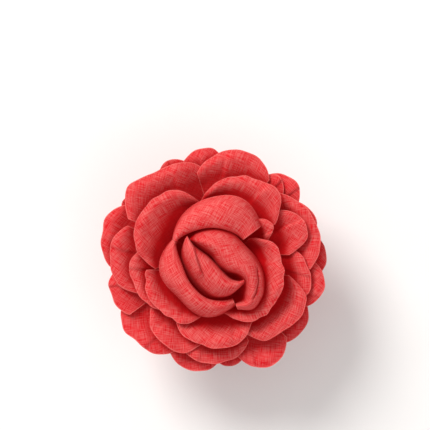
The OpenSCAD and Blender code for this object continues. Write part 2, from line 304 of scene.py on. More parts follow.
def thread_noise(recipe, uv, width, run, detail):
    """Noise stretched both ways along the cloth, between about -1 and 1."""
    fine, long = 1 / (width * UV_PER_MM), 1 / (run * UV_PER_MM)
    warp = recipe.noise(recipe.stretched(uv, (fine, long, 1)), 1, detail)
    weft = recipe.noise(recipe.stretched(uv, (long, fine, 1)), 1, detail)
    return warp + weft - 1


def petal_colour(recipe, weave):
    """From dark to light thread, with painted shade that darkens deep-lying cloth towards a dark red,
    and paler at its cut edge.
    """
    tone, edge, shade = (
        recipe.node("Attribute", {"attribute_name": name}, output="Fac")
        for name in ("tone", "edge_mm", "shade")
    )
    dark = recipe.blend(tone, (0.6, 0.004, 0.01, 1), (0.58, 0.012, 0.018, 1))
    light = recipe.blend(tone, (0.66, 0.085, 0.085, 1), (0.65, 0.13, 0.12, 1))
    cloth = recipe.blend(weave, dark, light)
    # Painted shade: where the cloth lies deep between petals, its colour is blended towards
    # SHADOW_RED.
    deep = recipe.blend(shade, cloth, SHADOW_RED)
    sealed = 1 - recipe.step(edge, *CUT_EDGE)
    return recipe.blend(sealed * (0.46 - tone * 0.34), deep, EDGE_CORAL)


def petal_cloth(name):
    recipe = Recipe(name)
    uv = recipe.node("UVMap", {"uv_map": "cloth"})
    fine = thread_noise(recipe, uv, THREAD_WIDTH, THREAD_RUN, 1)
    slub = thread_noise(recipe, uv, SLUB_WIDTH, SLUB_RUN, 2)
    patch = recipe.noise(uv, 1 / (PATCH_WIDTH * UV_PER_MM), 2) - 0.5
    weave = recipe.step(0.5 + fine * 1.8 + slub * 0.2 + patch * 0.08, 0.0, 1.0)
    return recipe.finish(
        Base_Color=petal_colour(recipe, weave),
        Roughness=0.82 - fine * 0.15,
        Normal=recipe.bump(fine * 0.6 + slub, 0.12 * MM, 0.8),
        Sheen_Weight=0.04,
        Sheen_Roughness=0.45,
        Sheen_Tint=(1, 0.6, 0.55, 1),
        Specular_IOR_Level=0.08,
        Emission_Color=(1, 0.005, 0.012, 1),
        Emission_Strength=0.045,
    )


petal_material = petal_cloth("petal_cloth")
print("petal cloth nodes:", len(petal_material.node_tree.nodes))

# %% [markdown]
# ## Nested bowls
# A rose's petals lie inside each other like bowls. Modelling each one freely would make them cross,
# so every leaf-like petal lies on a numbered bowl of one nest: a low number stands steep round the
# bud and a high number lies nearly flat. Petals whose numbers differ can overlap without touching.
# The bowls are the ones of the CAD petals, in millimetres over the felt. First come the three
# curves that all the petals use.

# %% Curves
def mix(a, b, k):
    return a + (b - a) * k


def smooth(x):
    t = np.clip(x, 0, 1)
    return t * t * (3 - 2 * t)


def rising(x, start, width):
    """From 0 to 1 while x goes from start on over width."""
    return smooth((x - start) / width)


def curve_between(a, b, c, d, f):
    """The smooth curve from b, at f = 0, to c, at f = 1, with a and d as the values beyond them."""
    slope, bend, twist = c - a, 2 * a - 5 * b + 4 * c - d, 3 * b - a - 3 * c + d
    return (2 * b + slope * f + bend * f**2 + twist * f**3) / 2


def along(values, u):
    """A smooth curve through evenly spaced values, at u from 0 to 1."""
    values = np.asarray(values, float)
    padded = np.concatenate([[2 * values[0] - values[1]], values, [2 * values[-1] - values[-2]]])
    x = np.clip(u, 0, 1) * (len(values) - 1)
    i = np.minimum(np.floor(x).astype(int), len(values) - 2)
    return curve_between(*(padded[i + k] for k in range(4)), x - i)


print("halfway between 2 and 4:", along([1, 2, 4, 5], 0.5))

# %% [markdown]
# ## The nest's shape
# Each bowl starts at its foot on the felt and rises steeply, then flattens towards its rim, as a
# petal does that is held at its foot. One exponential curve says that. From one bowl to the next the
# foot moves out, the height drops and the curve gets wider.

# %% The bowls
MIDDLE_BOWL = 3
FOOT, FOOT_STEP = 7.2, 1.8
HEIGHT, HEIGHT_STEP = 18.5, -2.7
SPREAD, SPREAD_STEP = 8.5, 1.4


def bowl_foot(bowl):
    return FOOT + FOOT_STEP * (bowl - MIDDLE_BOWL)


def bowl_height(bowl, r):
    steps = bowl - MIDDLE_BOWL
    height, spread = HEIGHT + HEIGHT_STEP * steps, SPREAD + SPREAD_STEP * steps
    return height * (1 - np.exp(-(r - bowl_foot(bowl)) / spread))


for bowl in (3, 7):
    print(f"bowl {bowl} is {bowl_height(bowl, 36):.1f} mm high at 36 mm from the middle")

# %% [markdown]
# ## From a grid of points to cloth
# A petal is a grid of points, from one side to the other and from foot to rim. This helper makes the
# mesh, a map in real lengths for the weave, and three values that the cloth's material reads: how
# coral or red the petal is, how far each point is from the cut edge, and how deep it lies, which sets
# its painted shade. Solidify then gives it the thickness of cloth.

# %% Cloth from a grid
LEAST_FLAT = 10


def lengths(points, axis):
    """Length along the grid from its first row, and each line's whole length."""
    steps = np.linalg.norm(np.diff(points, axis=axis), axis=2)
    start = np.zeros_like(np.take(steps, [0], axis=axis))
    run = np.cumsum(np.concatenate([start, steps], axis=axis), axis=axis)
    return run, np.take(run, [-1], axis=axis)


def cloth_object(name, points, thickness, tone, cut_angle, shade):
    """Returns the piece, its flat size and its area, in millimetres."""
    nu, nv = points.shape[:2]
    index = np.arange(nu * nv).reshape(nu, nv)
    quads = np.stack([index[:-1, :-1], index[:-1, 1:], index[1:, 1:], index[1:, :-1]], axis=-1)
    mesh = bpy.data.meshes.new(name)
    mesh.from_pydata((points.reshape(-1, 3) * MM).tolist(), [], quads.reshape(-1, 4).tolist())

    # The map is in real lengths, turned by the angle that the cloth was cut at.
    run_u, whole_u = lengths(points, 0)
    run_v, whole_v = lengths(points, 1)
    centred = run_u - whole_u / 2
    turn = math.radians(cut_angle)
    map_u = centred * math.cos(turn) - run_v * math.sin(turn)
    map_v = centred * math.sin(turn) + run_v * math.cos(turn)
    at_vertex = np.stack([map_u, map_v], -1).reshape(-1, 2) * UV_PER_MM + 0.5
    layer = mesh.uv_layers.new(name="cloth")
    corners = np.zeros(len(mesh.loops), int)
    mesh.loops.foreach_get("vertex_index", corners)
    layer.data.foreach_set("uv", at_vertex[corners].astype(np.float32).ravel())

    edge = np.minimum(whole_v - run_v, np.minimum(run_u, whole_u - run_u))
    for key, values in (("edge_mm", edge), ("tone", np.full_like(edge, tone)), ("shade", shade)):
        attribute = mesh.attributes.new(key, "FLOAT", "POINT")
        attribute.data.foreach_set("value", values.astype(np.float32).ravel())

    piece = bpy.data.objects.new(name, mesh)
    scene.collection.objects.link(piece)
    solidify = piece.modifiers.new("thickness", "SOLIDIFY")
    solidify.thickness = thickness * MM
    solidify.offset = 0
    use_only(piece)
    bpy.ops.object.modifier_apply(modifier=solidify.name)
    smooth_under(50)
    piece.data.materials.append(petal_material)
    to_side = points[1:, :-1] - points[:-1, :-1]
    to_rim = points[:-1, 1:] - points[:-1, :-1]
    area = float(np.linalg.norm(np.cross(to_side, to_rim), axis=2).sum())
    flat = [max(float(whole.max()), LEAST_FLAT) for whole in (whole_u, whole_v)]
    return piece, flat, area


def dress_petal(piece, flat, area, held):
    """Rides the petal on the front jaw, hides its CAD node and returns its name and flat size."""
    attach(piece, "front_jaw")
    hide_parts(piece.name.replace("cloth_", ""))
    share = min(max(area / (flat[0] * flat[1]), 0.3), 1)
    flat[0] * MM
    flat[1] * MM
    share * flat[0] * flat[1] * MM * MM
    return f"{piece.name} {flat[0]:.0f} x {flat[1]:.0f} mm"


print("cloth helper ready")

# %% [markdown]
# ## Leaf petals
# Thirty-one petals lie on the nest of bowls. A row gives the petal's two sides as angles round the
# flower, its bowl, how that number changes across it, how far the rim rolls down, and the rim's
# distance from the middle at even steps. Straight sides would look cut from paper, so the corners
# are rounded further down, and each petal gets slow waves, a rolled rim and a soft pleat.

# %% Leaf petals' table
LEAVES = [
    # name, from, to, bowl, tilt, cup, roll, rim distances
    ("inner_petal_3", 278, 395, 2.15, -0.35, 0.1, 1.1, [17.5, 22.8, 24.6, 24.3, 22.8, 21, 13.5]),
    ("inner_petal_4", 20, 45, 2.75, 0, 0.1, 0.6, [18.5, 22.6, 22.4, 20.5]),
    ("middle_petal_1", 30, 106, 3.5, 0, 0.2, 1, [24, 31.3, 31.2, 29.5, 25.5, 20.5]),
    ("middle_petal_2", 102, 189, 3.05, 0, 0.2, 1, [20.5, 27.2, 29.5, 28.9, 26.6, 20]),
    ("middle_petal_3", 186, 263, 2.9, 0, 0.1, 0.9, [23.5, 25.2, 24.2, 23.4, 16.5]),
    ("middle_petal_4", 234, 306, 3.4, 0, 0.15, 1, [23.5, 27.2, 28.8, 28.9, 28, 23.5]),
    ("middle_petal_5", 291, 350, 3.95, 0, 0.2, 1.2, [26.5, 31.5, 33, 34.6, 33, 26]),
    ("middle_petal_6", 330, 371, 4.6, 0, 0.05, 0.8, [31, 33.6, 31.6, 26.5]),
    ("middle_petal_7", 170, 224, 3.85, 0, 0.2, 0.8, [26, 29, 28, 27, 25.5]),
    ("middle_petal_8", 4, 38, 4.15, 0, 0.05, 0.8, [26, 32.3, 32.6, 29.5]),
    ("large_petal_1", -6, 56, 5.0, 0, 0.1, 1, [33.2, 36.2, 36.8, 35.3, 33, 30]),
    ("large_petal_2", 55, 102, 5.3, 0.2, 0, 1.2, [34.5, 37.8, 38.2, 36, 31]),
    ("large_petal_3", 94, 155, 4.6, -1.1, 0.2, 1.2, [31.5, 35.2, 36.3, 38, 33.5]),
    ("large_petal_4", 157, 204, 4.9, 0, 0.2, 1, [32.5, 35.6, 34.8, 34, 29]),
    ("large_petal_5", 216, 265, 4.5, 0, 0.2, 0.8, [27.5, 31.8, 32.9, 32.2, 27.5]),
    ("large_petal_6", 247, 294, 5.15, 0, 0.2, 1, [31.5, 34.2, 34.9, 33.4, 30.5]),
    ("large_petal_7", 332, 362, 5.65, 0, 0.15, 0.9, [35, 38, 37.6, 33.8]),
    ("outer_petal_1", 349, 376, 6.9, 0, 0.2, 0.7, [36, 38.2, 37.8, 35.5]),
    ("outer_petal_2", 14, 38, 6.45, 0, 0.1, 0.7, [35.8, 37.3, 36.6, 34.5]),
    ("outer_petal_3", 33, 61, 6, 0, 0.1, 0.8, [34.5, 38.6, 37.6, 34]),
    ("outer_petal_4", 43, 60, 5.6, 0, 0.1, 0.4, [33, 35.6, 33.8]),
    ("outer_petal_5", 85, 111, 6.2, 0, 0.2, 0.7, [36, 38.3, 37.6, 34.5]),
    ("outer_petal_6", 105, 125, 6.8, 0, 0.2, 0.6, [35.5, 37.2, 35.2]),
    ("outer_petal_7", 140, 152, 6.8, 0, 0.2, 0.5, [35.8, 37.6, 36]),
    ("outer_petal_8", 146, 184, 6.1, 0, 0.2, 0.9, [35.5, 39.8, 39, 36.5]),
    ("outer_petal_9", 183, 213, 5.6, 0, 0.2, 0.8, [33.5, 36.8, 36.6, 35]),
    ("outer_petal_10", 205, 247, 6.2, 0, 0.2, 0.9, [35, 38.8, 38.3, 37.6, 34.5]),
    ("outer_petal_11", 241, 276, 6.75, 0, 0.2, 0.7, [34.5, 37.4, 37.9, 34]),
    ("outer_petal_12", 270, 289, 7.3, 0, 0.1, 0.4, [34.5, 36.1, 34.5]),
    ("outer_petal_13", 283, 314, 5.9, 0, 0.2, 1, [34.5, 39.9, 40.2, 36.5]),
    ("outer_petal_14", 308, 338, 6.45, 0, 0.2, 0.8, [37, 38.7, 37.4, 34]),
]
print(len(LEAVES), "leaf petals")

# %% [markdown]
# ## Waves and pleats
# No two petals of a handmade rose are alike. Noise would make them rough, and cloth is slow and
# smooth, so a rim's waves are a few sines with chance phases, and each petal gets one soft pleat at a
# chance place. The chance comes from the petal's number, so the rose is the same on every run.

# %% Waves and pleats
SINGLE_CLOTH, DOUBLE_CLOTH = 0.4, 0.6
PLEAT_HEIGHT, PLEAT_STEP, PLEAT_FADE = 0.75, 0.1, 0.7


def waves(seed, u, count=4):
    """Slow, uneven waves along a rim, within about 1 either way."""
    chance = np.random.RandomState(seed)
    total = 0
    for k in range(1, count + 1):
        swing = np.sin(2 * np.pi * (k * 0.8 * u + chance.rand()))
        total = total + swing * chance.uniform(0.4, 1) / k
    return total / 1.5


def pleat(seed, side):
    """A soft fold that steps up sharply across the petal and fades out slowly."""
    chance = np.random.RandomState(seed + 200)
    place = chance.uniform(-0.45, 0.45)
    away = (side - place) * chance.choice((-1, 1))
    fading = 1 - rising(away, PLEAT_STEP, PLEAT_FADE)
    return PLEAT_HEIGHT * smooth(away / PLEAT_STEP) * fading


print("waves along a rim:", [round(float(waves(1, u)), 2) for u in (0, 0.5, 1)])

# %% [markdown]
# ## A leaf petal's grid and height
# Drawing the grid in towards an oval rounds a petal's corners and keeps its rim one clean line of
# points. A trimmed mesh would have a ragged rim. The height is the bowl's, and to it come the lift
# of the outer part, the roll of the rim and the pleat.

# %% Leaf petals' shape
STEM = 0.3
STEM_NARROWING = 0.38
CORNER_ROUNDING = 0.16
WIDENING = 1.08
TYPICAL_R = 30
FLUTTER, FLUTTER_LENGTH = 0.16, 22
RIM_WAVE, RIM_WAVE_LENGTH, RIM_EXTRA = 0.6, 16, 0.3
ROLL_CHANGE, ROLL_WAVE_LENGTH = 0.4, 20
LIFT = 2
FLUTTER_ZONE, LIFT_ZONE, ROLL_ZONE, PLEAT_ZONE = (0.45, 0.55), (0.62, 0.34), (0.86, 0.14), (0.45, 0.3)


def grid(nu, nv):
    """Points from side to side (u) and from foot to rim (v), both from 0 to 1."""
    return np.meshgrid(np.linspace(0, 1, nu), np.linspace(0, 1, nv), indexing="ij")


def leaf_grid():
    """Each point's side, from about -1 to 1, and its reach, from 0 at the foot to 1 at the rim."""
    u, v = grid(56, 44)
    across = 2 * u - 1
    rise = np.clip((v - STEM) / (1 - STEM), 0, 1)
    drawn_in = across * np.sqrt(1 - CORNER_ROUNDING * rise**2) * WIDENING
    drawn_down = rise * np.sqrt(1 - CORNER_ROUNDING * across**4)
    reach = np.where(v < STEM, v, STEM + (1 - STEM) * drawn_down)
    return u, drawn_in * (1 - STEM_NARROWING * (1 - reach)), reach


def leaf_points(row, seed):
    _, start, end, bowl, tilt, cup, roll, rims = row
    u, side, reach = leaf_grid()
    place = (1 + side) / 2
    angle = np.radians(mix(start, end, place))
    width = np.radians(end - start) * TYPICAL_R

    flutter = waves(seed, u * width / FLUTTER_LENGTH, 3) * rising(reach, *FLUTTER_ZONE)
    number = bowl + tilt * side + cup * side**2 + FLUTTER * flutter
    rim_waves = RIM_WAVE * waves(seed + 50, u * width / RIM_WAVE_LENGTH)
    r = mix(bowl_foot(number), along(rims, place) + rim_waves + RIM_EXTRA, reach)

    roll_share = (1 - 0.6 * np.clip(side, -1, 1) ** 2) * rising(reach, *ROLL_ZONE) ** 1.5
    uneven = 1 + ROLL_CHANGE * waves(seed + 90, u * width / ROLL_WAVE_LENGTH)
    z = bowl_height(number, r) + LIFT * rising(reach, *LIFT_ZONE) - roll * roll_share * uneven
    z = z + pleat(seed, side + 0.25 * (reach - 0.8)) * rising(reach, *PLEAT_ZONE)
    z = np.maximum(z, SINGLE_CLOTH / 2)
    return np.stack([r * np.cos(angle), r * np.sin(angle), z + felt_top], -1)


leaf_shapes = {row[0]: leaf_points(row, seed) for seed, row in enumerate(LEAVES)}
print("points on a leaf petal:", leaf_shapes["large_petal_1"].shape[:2])

# %% [markdown]
# ## Wrapped petals
# Two petals wrap round the bud. Each rises from its foot, folds over a lip and rolls outwards and
# down to its rim, so what is seen from the front is the crown between lip and rim. A bowl can't fold
# over, so these rows give a profile instead: the heights of lip, crown, shoulder and rim, the
# distances of the lip and the rim from the middle at even steps round it, and how much lower each
# end stands.

# %% Wrapped petals' table
WRAP_FOOT, WRAP_BELLY = 4.2, 1
WRAPS = [
    # name, from, to, heights, lips, rims, drops
    ("inner_petal_1", 37, 152, (24.5, 26.3, 24.6, 19.5),
     [12, 11.1, 11.2, 12.2, 14.8], [19.6, 22.9, 21.2, 18.9, 15.8], (0.12, 0.1)),
    ("inner_petal_2", 153, 296, (23.5, 25.3, 23.6, 19),
     [14.8, 10.6, 10.8, 12.6, 14], [15.8, 18.6, 17, 18.8, 16.4], (0.1, 0.14)),
]
print("wrapped petals:", [row[0] for row in WRAPS])

# %% [markdown]
# ## A folded petal's profile
# The profile is a smooth curve through seven knots: foot, belly, the turn under the lip, lip, crown,
# shoulder and rim. Every line of the grid from foot to rim is drawn through its own knots, which
# keeps the fold in one sheet. Bending a flat sheet with a modifier would take many more steps.

# %% Wrapped petals' shape
LIP_LIMIT = 0.9
DROP_WIDTH = 0.4
BELLY_Z, TURN_Z = 9, 17


def profile(knots, v):
    """A smooth curve through a list of grids, from the first at v = 0 to the last at v = 1."""
    knots = np.stack([2 * knots[0] - knots[1], *knots, 2 * knots[-1] - knots[-2]])
    x = v * (len(knots) - 3)
    i = np.minimum(np.floor(x).astype(int), len(knots) - 4)
    beside = (np.take_along_axis(knots, (i + k)[None], 0)[0] for k in range(4))
    return curve_between(*beside, x - i)


def wrap_points(row):
    _, start, end, heights, lips, rims, drops = row
    u, v = grid(110, 80)
    angle = np.radians(mix(start, end, u))
    rim = along(rims, u)
    lip = np.minimum(1 / along(1 / np.asarray(lips, float), u), rim * LIP_LIMIT)
    first, last = 1 - smooth(u / DROP_WIDTH), 1 - smooth((1 - u) / DROP_WIDTH)
    drop = drops[0] * first + drops[1] * last
    knots_r = [
        WRAP_FOOT + 0 * u, mix(WRAP_FOOT, lip, 0.42), lip + WRAP_BELLY,
        mix(lip, rim, 0.05), mix(lip, rim, 0.36), mix(lip, rim, 0.75), rim,
    ]
    knots_z = [0 * u, BELLY_Z + 0 * u, TURN_Z + 0 * u, *[h * (1 - drop) for h in heights]]
    r, z = profile(knots_r, v), profile(knots_z, v)
    z = np.maximum(z, DOUBLE_CLOTH / 2) + felt_top
    return np.stack([r * np.cos(angle), r * np.sin(angle), z], -1)


wrap_shapes = {row[0]: wrap_points(row) for row in WRAPS}
print("highest wrapped petal:", round(max(float(p[..., 2].max()) for p in wrap_shapes.values()), 1))

# %% [markdown]
# ## The bud
# The bud's two petals press against each other like two hands: a front one on the left with a
# pointed tip at both ends, and a back one that comes round from behind and closes in a lobe on the
# right. They follow no circle, so each is drawn by stations along it. A station names the lip, where
# the cloth folds over, the rim, where it ends, and the heights of lip, crown and rim.

# %% Bud petals' stations
FRONT_BUD = {
    "lip": [(-9, 8), (-7, 5.2), (-4.6, 3.2), (-2, 1.3), (0.6, -1.3), (3, -3.9), (5.4, -6), (8, -6.7),
            (9.9, -6.3)],
    "rim": [(-9.5, 7.7), (-10.9, 4), (-10.9, 0.5), (-9.9, -2.5), (-8, -6), (-5, -9.4), (-1, -12),
            (4.5, -11.6), (9.8, -7.3)],
    "lip_z": [24.5, 25.4, 25.8, 26, 26, 25.8, 25.4, 25, 24],
    "crown_z": [24.8, 26.6, 27.6, 28, 28, 27.8, 27.2, 26, 24.2],
    "rim_z": [22, 19, 18, 18, 18, 18, 18, 19, 22],
    "lean": [0, 0, 0, 0, 0, 0, 0, 0, 0],
}
BACK_BUD = {
    "lip": [(-7.6, 7), (-5.6, 5.3), (-3.2, 3.6), (-0.5, 1.5), (1.6, -1.2), (4.6, -2.7), (8.2, -3.8),
            (10.8, -5.8), (11.5, -8.8), (11.3, -11.6), (10.3, -13.6), (7.2, -14.4)],
    "rim": [(-8.3, 7.8), (-5.8, 9.7), (-2.2, 10.9), (2, 10.9), (6.2, 9.1), (10.2, 5.2), (13.6, 1.4),
            (16, -3.2), (16.8, -8.2), (16, -12.2), (13, -16), (7.9, -15.9)],
    "lip_z": [20, 21, 22, 22.8, 24, 25.4, 25.8, 25.8, 25.2, 24.4, 23.4, 22],
    "crown_z": [22.5, 25.5, 27, 27.8, 28, 28, 27.8, 27.2, 26.6, 25.8, 24.6, 22.6],
    "rim_z": [19, 21.5, 22, 22, 21.5, 20.5, 19, 18.5, 18, 18, 18.5, 20],
    "lean": [0, 0, 0, 0, 0.4, 1.2, 2, 2.8, 3.2, 3, 2, 0.6],
}
print(len(FRONT_BUD["lip"]), "and", len(BACK_BUD["lip"]), "stations")

# %% [markdown]
# ## The bud petals' points
# The stations are joined by the same smooth curve as a rim, and the profile through the knots is the
# one of the wrapped petals. Here the knots are places and not distances, so x, y and z each run
# through their own.

# %% Bud petals' shape
BUD_MIDDLE = np.array((2.5, -4.5))
BUD_FOOT = 1.5
BUD_TURN_Z = 17.5


def bud_points(stations):
    u, v = grid(140, 90)

    def spread(values):
        return along(values, u)

    lip, rim = (
        np.stack([spread([place[axis] for place in stations[line]]) for axis in (0, 1)], -1)
        for line in ("lip", "rim")
    )
    inwards = BUD_MIDDLE - lip
    inwards = inwards / np.maximum(np.linalg.norm(inwards, axis=-1, keepdims=True), 1)
    foot = BUD_MIDDLE - BUD_FOOT * inwards
    belly = lip + inwards * spread(stations["lean"])[..., None]
    places = [
        foot, mix(foot, belly, 0.45), belly,
        mix(lip, rim, 0.04), mix(lip, rim, 0.36), mix(lip, rim, 0.78), rim,
    ]
    lip_z, crown_z, rim_z = (spread(stations[key]) for key in ("lip_z", "crown_z", "rim_z"))
    levels = [
        0 * u, BELLY_Z + 0 * u, BUD_TURN_Z + 0 * u,
        lip_z, crown_z, mix(crown_z, rim_z, 0.36), rim_z,
    ]
    x, y = (profile([place[..., axis] for place in places], v) for axis in (0, 1))
    z = np.maximum(profile(levels, v), DOUBLE_CLOTH / 2)
    return np.stack([x, y, z + felt_top], -1)


front_bud, back_bud = bud_points(FRONT_BUD), bud_points(BACK_BUD)
print("points on a bud petal:", front_bud.shape[:2])

# %% [markdown]
# ## Creases in the bud
# Folded cloth keeps creases. On the front bud petal the cloth lies double, and the edge of the upper
# layer shows as a step that fades out. On the back one a soft groove runs along the lobe, where the
# cloth turned under. Both are small moves of the grid's height on either side of a line.

# %% Crease and groove
CREASE_LINE = [(-3.3, -5.7), (-4.6, -2.9), (-6, 1.2), (-7.2, 5.3), (-9, 8.2)]
CREASE_STEP, CREASE_WIDTH = 1.7, 0.3
GROOVE_LINE = [(12.8, -12.5), (13.8, -10.4), (14.6, -6.6), (14.1, -2.2)]
GROOVE_DEPTH, GROOVE_WIDTH = 2.2, 0.4


def line_x(y, knots):
    ys = [knot[1] for knot in knots]
    return np.interp(y, ys, [knot[0] for knot in knots])


def lay_crease(points):
    left = line_x(points[..., 1], CREASE_LINE) - points[..., 0]
    high = smooth((points[..., 2] - felt_top - 20) / 3)
    fade = smooth((points[..., 1] + 6.5) / 4) * high
    step = CREASE_STEP * smooth(left / CREASE_WIDTH + 0.5)
    points[..., 2] += step * fade * (1 - rising(left, 1, 3.5))
    return points


def press_groove(points):
    away = np.abs(line_x(points[..., 1], GROOVE_LINE) - points[..., 0])
    fade = smooth((points[..., 1] + 13.5) / 2.5) * smooth((-1 - points[..., 1]) / 2.5)
    high = smooth((points[..., 2] - felt_top - 19) / 2)
    points[..., 2] -= GROOVE_DEPTH * np.exp(-((away / GROOVE_WIDTH) ** 2)) * fade * high
    return points


bud_shapes = {"bud_petal_1": lay_crease(front_bud), "bud_petal_2": press_groove(back_bud)}
print("bud petals creased:", list(bud_shapes))

# %% [markdown]
# ## How deep each point lies
# Cloth that lies low between its neighbours looks darker and redder, because the light that reaches
# it has bounced from other petals. Part of that comes from the lamps by itself, and the rest is
# painted into the cloth as shade, so that the rose also reads well in flat light. The petals' heights
# are spread on a square map and blurred, and a point is deep where it lies under the blurred height.

# %% Map of heights
shapes = {**bud_shapes, **leaf_shapes, **wrap_shapes}
CELL = 0.5
MAP_CELLS = 180
CLOSE_BLUR, BROAD_BLUR, CLOSE_WEIGHT = 1.3, 4, 1.3
LEAST_DEPTH, MOST_DEPTH = 0.2, 3.6


def cells_of(points):
    spot = points[..., :2] / CELL + MAP_CELLS / 2
    spots = np.clip(np.round(spot).astype(int), 1, MAP_CELLS - 2)
    return spots[..., 0], spots[..., 1]


def map_of_heights():
    heights = np.full((MAP_CELLS, MAP_CELLS), felt_top, float)
    for points in shapes.values():
        across, up = cells_of(points)
        for dx in (-1, 0, 1):
            for dy in (-1, 0, 1):
                np.maximum.at(heights, (across + dx, up + dy), points[..., 2])
    return heights


def blurred(heights, width):
    wave = np.fft.fftfreq(MAP_CELLS, CELL)
    softness = np.exp(-2 * (np.pi * width) ** 2 * (wave[:, None] ** 2 + wave[None, :] ** 2))
    return np.real(np.fft.ifft2(np.fft.fft2(heights) * softness))


heights = map_of_heights()
near, wide = blurred(heights, CLOSE_BLUR), blurred(heights, BROAD_BLUR)


def depth_of(points):
    """How deep each point lies, from 0 to 1."""
    cells = cells_of(points)
    close, broad = near[cells] - points[..., 2], wide[cells] - points[..., 2]
    return rising(np.maximum(close * CLOSE_WEIGHT, broad), LEAST_DEPTH, MOST_DEPTH - LEAST_DEPTH)


print("highest point of the rose:", round(float(heights.max()), 1), "mm")

# %% [markdown]
# ## Making the petals
# Each shape becomes a piece of cloth. The inner petals are folded double, so they are thicker, and
# their colour is a softer coral than the single, redder cloth at the back of the rose.

# %% Make the petals
TONES = {"bud": 1.0, "inner": 1.0, "middle": 0.8, "large": 0.55, "outer": 0.2}
# How strongly each kind of petal gets painted shade where it lies deep.
PAINTED_SHADE_BY_KIND = {"bud": 1.0, "inner": 1.0, "middle": 0.95, "large": 0.75, "outer": 0.5}
CUT_SWING, CUT_STEP = 40, 2.4

for seed, (name, points) in enumerate(shapes.items()):
    kind = name.split("_")[0]
    folded = kind in ("bud", "inner")
    thickness = DOUBLE_CLOTH if folded else SINGLE_CLOTH
    cut_angle = CUT_SWING * math.sin(seed * CUT_STEP)
    shade = PAINTED_SHADE_BY_KIND[kind] * depth_of(points)
    made = cloth_object("cloth_" + name, points, thickness, TONES[kind], cut_angle, shade)
    print(dress_petal(*made, "folded" if folded else "draped"))

# %% [markdown]
# ## Coral plastic
# The clip is moulded in one colour of glossy plastic. A single flat colour would look like paint, so
# slow streaks show how the melt flowed, fine grain breaks up the gloss, and worn patches are duller.
# The pattern reads Object coordinates, so it stays on the part when the jaw turns.

# %% Plastic material
def moulded_plastic(name):
    recipe = Recipe(name)
    place = recipe.node("TexCoord", output="Object")
    flow = recipe.noise(recipe.stretched(place, (220, 45, 160)), 1, 3)
    grain = recipe.noise(place, 2600, 2)
    wear = recipe.step(recipe.noise(place, 260, 4, 0.65), 0.52, 0.72)
    colour = recipe.blend(flow, (0.5, 0.028, 0.032, 1), (0.66, 0.06, 0.055, 1))
    worn = recipe.blend(wear * 0.35, colour, (0.74, 0.16, 0.14, 1))
    return recipe.finish(
        Base_Color=worn,
        Roughness=0.24 + wear * 0.2 + grain * 0.08,
        Normal=recipe.bump(grain, 0.02 * MM, 0.5),
        Coat_Weight=0.15,
        Coat_Roughness=0.2,
    )


plastic = moulded_plastic("jaw_plastic")
print("plastic nodes:", len(plastic.node_tree.nodes))

# %% [markdown]
# ## The two jaws
# The jaws' shape is right in the CAD model, but its edges are knife-sharp, and moulded edges never
# are. A copy of each mesh has its loose triangles merged and its flat faces joined, and then a Bevel
# rounds every sharp edge. The rounding only takes plastic away, so the hinge keeps its clearances.
# Bevel's overlap clamp stays off, because one very short edge would shrink the rounding everywhere.
# The price is that crowded points, where an outer tooth meets the corner, are welded first.

# %% Rounded jaws
EDGE_ROUNDING = 0.25
MERGE_WITHIN, TIDY_WITHIN = 0.025, 0.004
FLAT_UNDER, SHARP_OVER = 0.5, 32
TOOTH_ROOT_Z, ROOT_BAND = 7, 0.3
OUTER_TOOTH_Y, PANEL_EDGE_X = 25, -11.5
ROOT_WELD = 0.15


def merge_points(within):
    bpy.ops.mesh.remove_doubles(threshold=within * MM)


def weld_outer_roots(piece):
    """Welds the crowded points at the roots of a jaw's outermost teeth."""
    bpy.ops.mesh.select_all(action="DESELECT")
    bpy.ops.object.mode_set(mode="OBJECT")
    for vertex in piece.data.vertices:
        at_root = abs(vertex.co.z - TOOTH_ROOT_Z * MM) < ROOT_BAND * MM
        outermost = abs(vertex.co.y) > OUTER_TOOTH_Y * MM
        vertex.select = at_root and outermost and vertex.co.x < PANEL_EDGE_X * MM
    bpy.ops.object.mode_set(mode="EDIT")
    merge_points(ROOT_WELD)


def moulded_jaw(node):
    piece = bpy.data.objects.new("moulded_" + node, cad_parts[node].data.copy())
    scene.collection.objects.link(piece)
    use_only(piece)
    bpy.ops.object.mode_set(mode="EDIT")
    bpy.ops.mesh.select_all(action="SELECT")
    merge_points(MERGE_WITHIN)
    bpy.ops.mesh.dissolve_limited(angle_limit=math.radians(FLAT_UNDER))
    weld_outer_roots(piece)
    bpy.ops.object.mode_set(mode="OBJECT")
    round_edges(piece, EDGE_ROUNDING, over_angle=SHARP_OVER, clamp=False)
    bpy.ops.object.mode_set(mode="EDIT")
    bpy.ops.mesh.select_all(action="SELECT")
    merge_points(TIDY_WITHIN)
    bpy.ops.object.mode_set(mode="OBJECT")
    smooth_under(35)
    piece.data.materials.clear()
    piece.data.materials.append(plastic)
    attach(piece, node)
    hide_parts(node)
    return piece


for node in ("rear_jaw", "front_jaw"):
    jaw = moulded_jaw(node)
    print(jaw.name, len(jaw.data.polygons), "faces")

# %% [markdown]
# ## Grip ridges
# Each finger tab has four low ridges, so that a damp thumb doesn't slip. They could be cut into the
# jaw with a Boolean, but a moulded ridge is simply a rounded bar that is sunk half into the tab, so
# one bar is made from a cylinder and copied along the tab. The bars lean with the tab they are on.

# %% Ridges on the finger tabs
TAB_ANGLE = 20
TAB_OUTER = 5.4
RIDGE_STEPS = (4.4, 5.8, 7.2, 8.6)
RIDGE_LENGTH, RIDGE_R, RIDGE_ROUNDING = 13, 0.45, 0.3


def tab_point(step, side):
    """A point on a tab's outer face. side is 1 for the front tab and -1 for the rear one."""
    lean = math.radians(TAB_ANGLE)
    x = hinge_x + step * math.cos(lean) - TAB_OUTER * math.sin(lean)
    z = hinge_z + side * (step * math.sin(lean) + TAB_OUTER * math.cos(lean))
    return x, z


